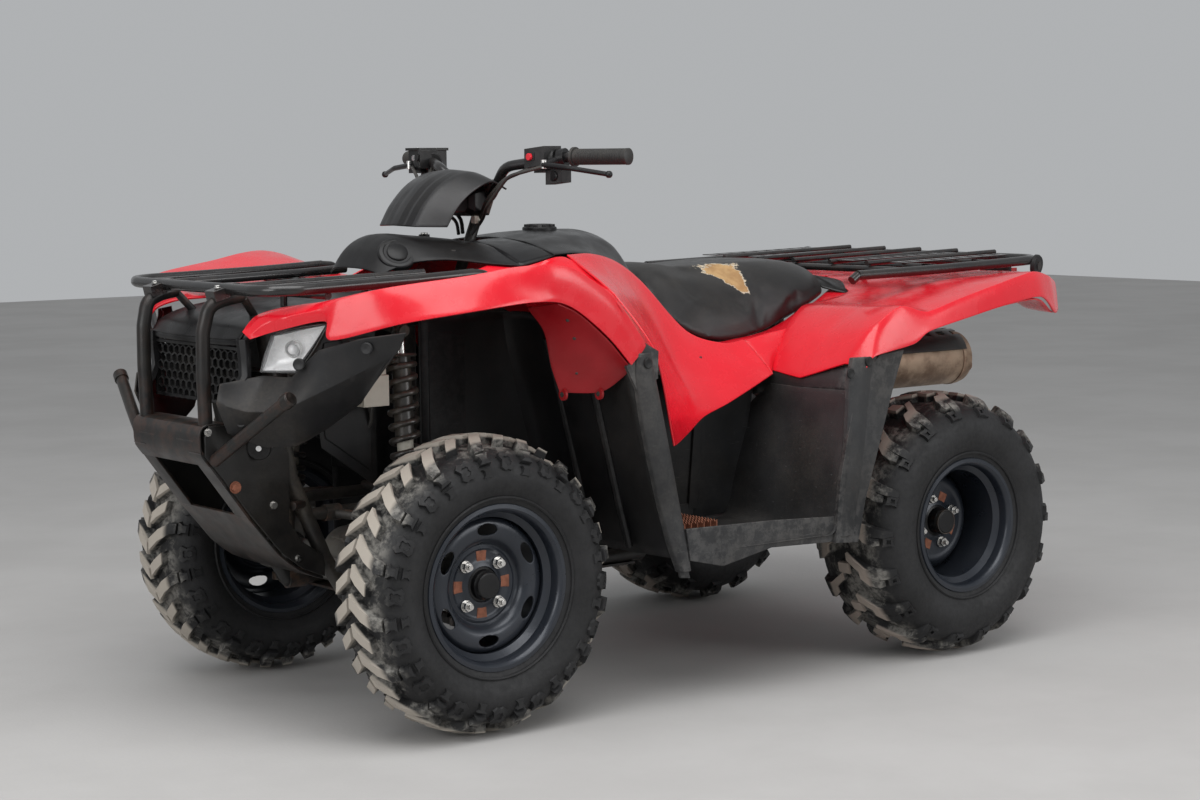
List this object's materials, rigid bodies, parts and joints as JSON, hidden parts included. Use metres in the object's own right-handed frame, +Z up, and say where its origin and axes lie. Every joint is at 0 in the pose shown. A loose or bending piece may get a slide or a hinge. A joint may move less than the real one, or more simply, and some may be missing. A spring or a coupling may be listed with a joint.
{
  "type": "utility quad bike",
  "caption": "Utility quad bike: red fenders, front and rear tube racks, bar steering with linkage, rolling balloon tyres and a live rear axle.",
  "frame": {"origin": "on the ground, midway along the length and the width", "axes": "+X forwards, +Y to the rider's left, +Z up"},
  "size_m": [2.1491, 1.1446, 1.1549],
  "materials": {
    "frame_steel": "satin, chipped",
    "cast_metal": "cast, dusty",
    "black_plastic": "textured, dusty",
    "red_plastic": "gloss, faded",
    "clear_lens": "clear",
    "red_lens": "clear red",
    "seat_vinyl": "worn vinyl",
    "rusty_steel": "rusty",
    "white_plastic": "yellowed",
    "bright_steel": "dull plated",
    "spring_steel": "dusty paint",
    "grip_rubber": "ribbed",
    "tyre_rubber": "dusty, worn",
    "rim_steel": "satin"
  },
  "bodies": {
    "chassis": {"frame": "frame_steel", "engine": "cast_metal", "skid_plate": "black_plastic", "front_differential": "cast_metal", "front_guard": "frame_steel", "front_arms": "frame_steel", "shock_absorbers": "bright_steel", "springs": "spring_steel", "rear_swingarm": "frame_steel", "front_fascia": "black_plastic", "grille": "black_plastic", "headlights": "clear_lens", "front_fenders": "red_plastic", "front_side_guards": "black_plastic", "front_inner_guards": "black_plastic", "footwells": "black_plastic", "footpegs": "rusty_steel", "side_covers": "red_plastic", "tank_cover": "black_plastic", "fuel_cap": "black_plastic", "steering_pod": "black_plastic", "seat": "seat_vinyl", "rear_fenders": "red_plastic", "front_rack": "frame_steel", "rear_rack": "frame_steel", "exhaust_pipe": "rusty_steel", "muffler": "rusty_steel", "tail_lights": "red_lens", "radiator": "cast_metal", "coolant_tank": "white_plastic"},
    "steering": {"steering_column": "bright_steel", "handlebar": "frame_steel", "handlebar_cover": "black_plastic", "grips": "grip_rubber", "controls": "black_plastic", "brake_levers": "bright_steel"},
    "knuckle_left_body": {"knuckle_left": "bright_steel"},
    "knuckle_right_body": {"knuckle_right": "bright_steel"},
    "tie_rod_left_body": {"tie_rod_left": "bright_steel"},
    "tie_rod_right_body": {"tie_rod_right": "bright_steel"},
    "front_left_wheel": {"front_left_rim": "rim_steel", "front_left_tyre": "tyre_rubber"},
    "front_right_wheel": {"front_right_rim": "rim_steel", "front_right_tyre": "tyre_rubber"},
    "rear_wheels": {"rear_axle": "bright_steel", "rear_rims": "rim_steel", "rear_tyres": "tyre_rubber"}
  },
  "joints": [
    {"name": "steering_turn", "type": "hinge", "parent": "chassis", "child": "steering", "pos_m": [0.572, 0, 0.345], "axis": [-0.3714, 0, 0.9285], "range_deg": [-36, 36]},
    {"name": "knuckle_left_turn", "type": "hinge", "parent": "chassis", "child": "knuckle_left_body", "pos_m": [0.61, 0.345, 0.297], "axis": [0, 0, 1], "range_deg": [-27, 27]},
    {"name": "tie_rod_left_turn", "type": "hinge", "parent": "steering", "child": "tie_rod_left_body", "pos_m": [0.49165, 0.015, 0.37086], "axis": [-0.3714, 0, 0.9285], "range_deg": [-38, 38]},
    {"name": "front_left_wheel_spin", "type": "hinge", "parent": "knuckle_left_body", "child": "front_left_wheel", "pos_m": [0.61, 0.402, 0.297], "axis": [0, 1, 0], "continuous": true},
    {"name": "knuckle_right_turn", "type": "hinge", "parent": "chassis", "child": "knuckle_right_body", "pos_m": [0.61, -0.345, 0.297], "axis": [0, 0, 1], "range_deg": [-27, 27]},
    {"name": "tie_rod_right_turn", "type": "hinge", "parent": "steering", "child": "tie_rod_right_body", "pos_m": [0.49165, -0.015, 0.37086], "axis": [-0.3714, 0, 0.9285], "range_deg": [-38, 38]},
    {"name": "front_right_wheel_spin", "type": "hinge", "parent": "knuckle_right_body", "child": "front_right_wheel", "pos_m": [0.61, -0.402, 0.297], "axis": [0, 1, 0], "continuous": true},
    {"name": "rear_axle_spin", "type": "hinge", "parent": "chassis", "child": "rear_wheels", "pos_m": [-0.656, 0, 0.297], "axis": [0, 1, 0], "continuous": true}
  ],
  "couplings": [
    {"joint": "knuckle_left_turn", "follows": "steering_turn", "ratio": 0.7374},
    {"joint": "tie_rod_left_turn", "follows": "steering_turn", "ratio": -1.045},
    {"joint": "knuckle_right_turn", "follows": "steering_turn", "ratio": 0.7374},
    {"joint": "tie_rod_right_turn", "follows": "steering_turn", "ratio": -1.045}
  ]
}
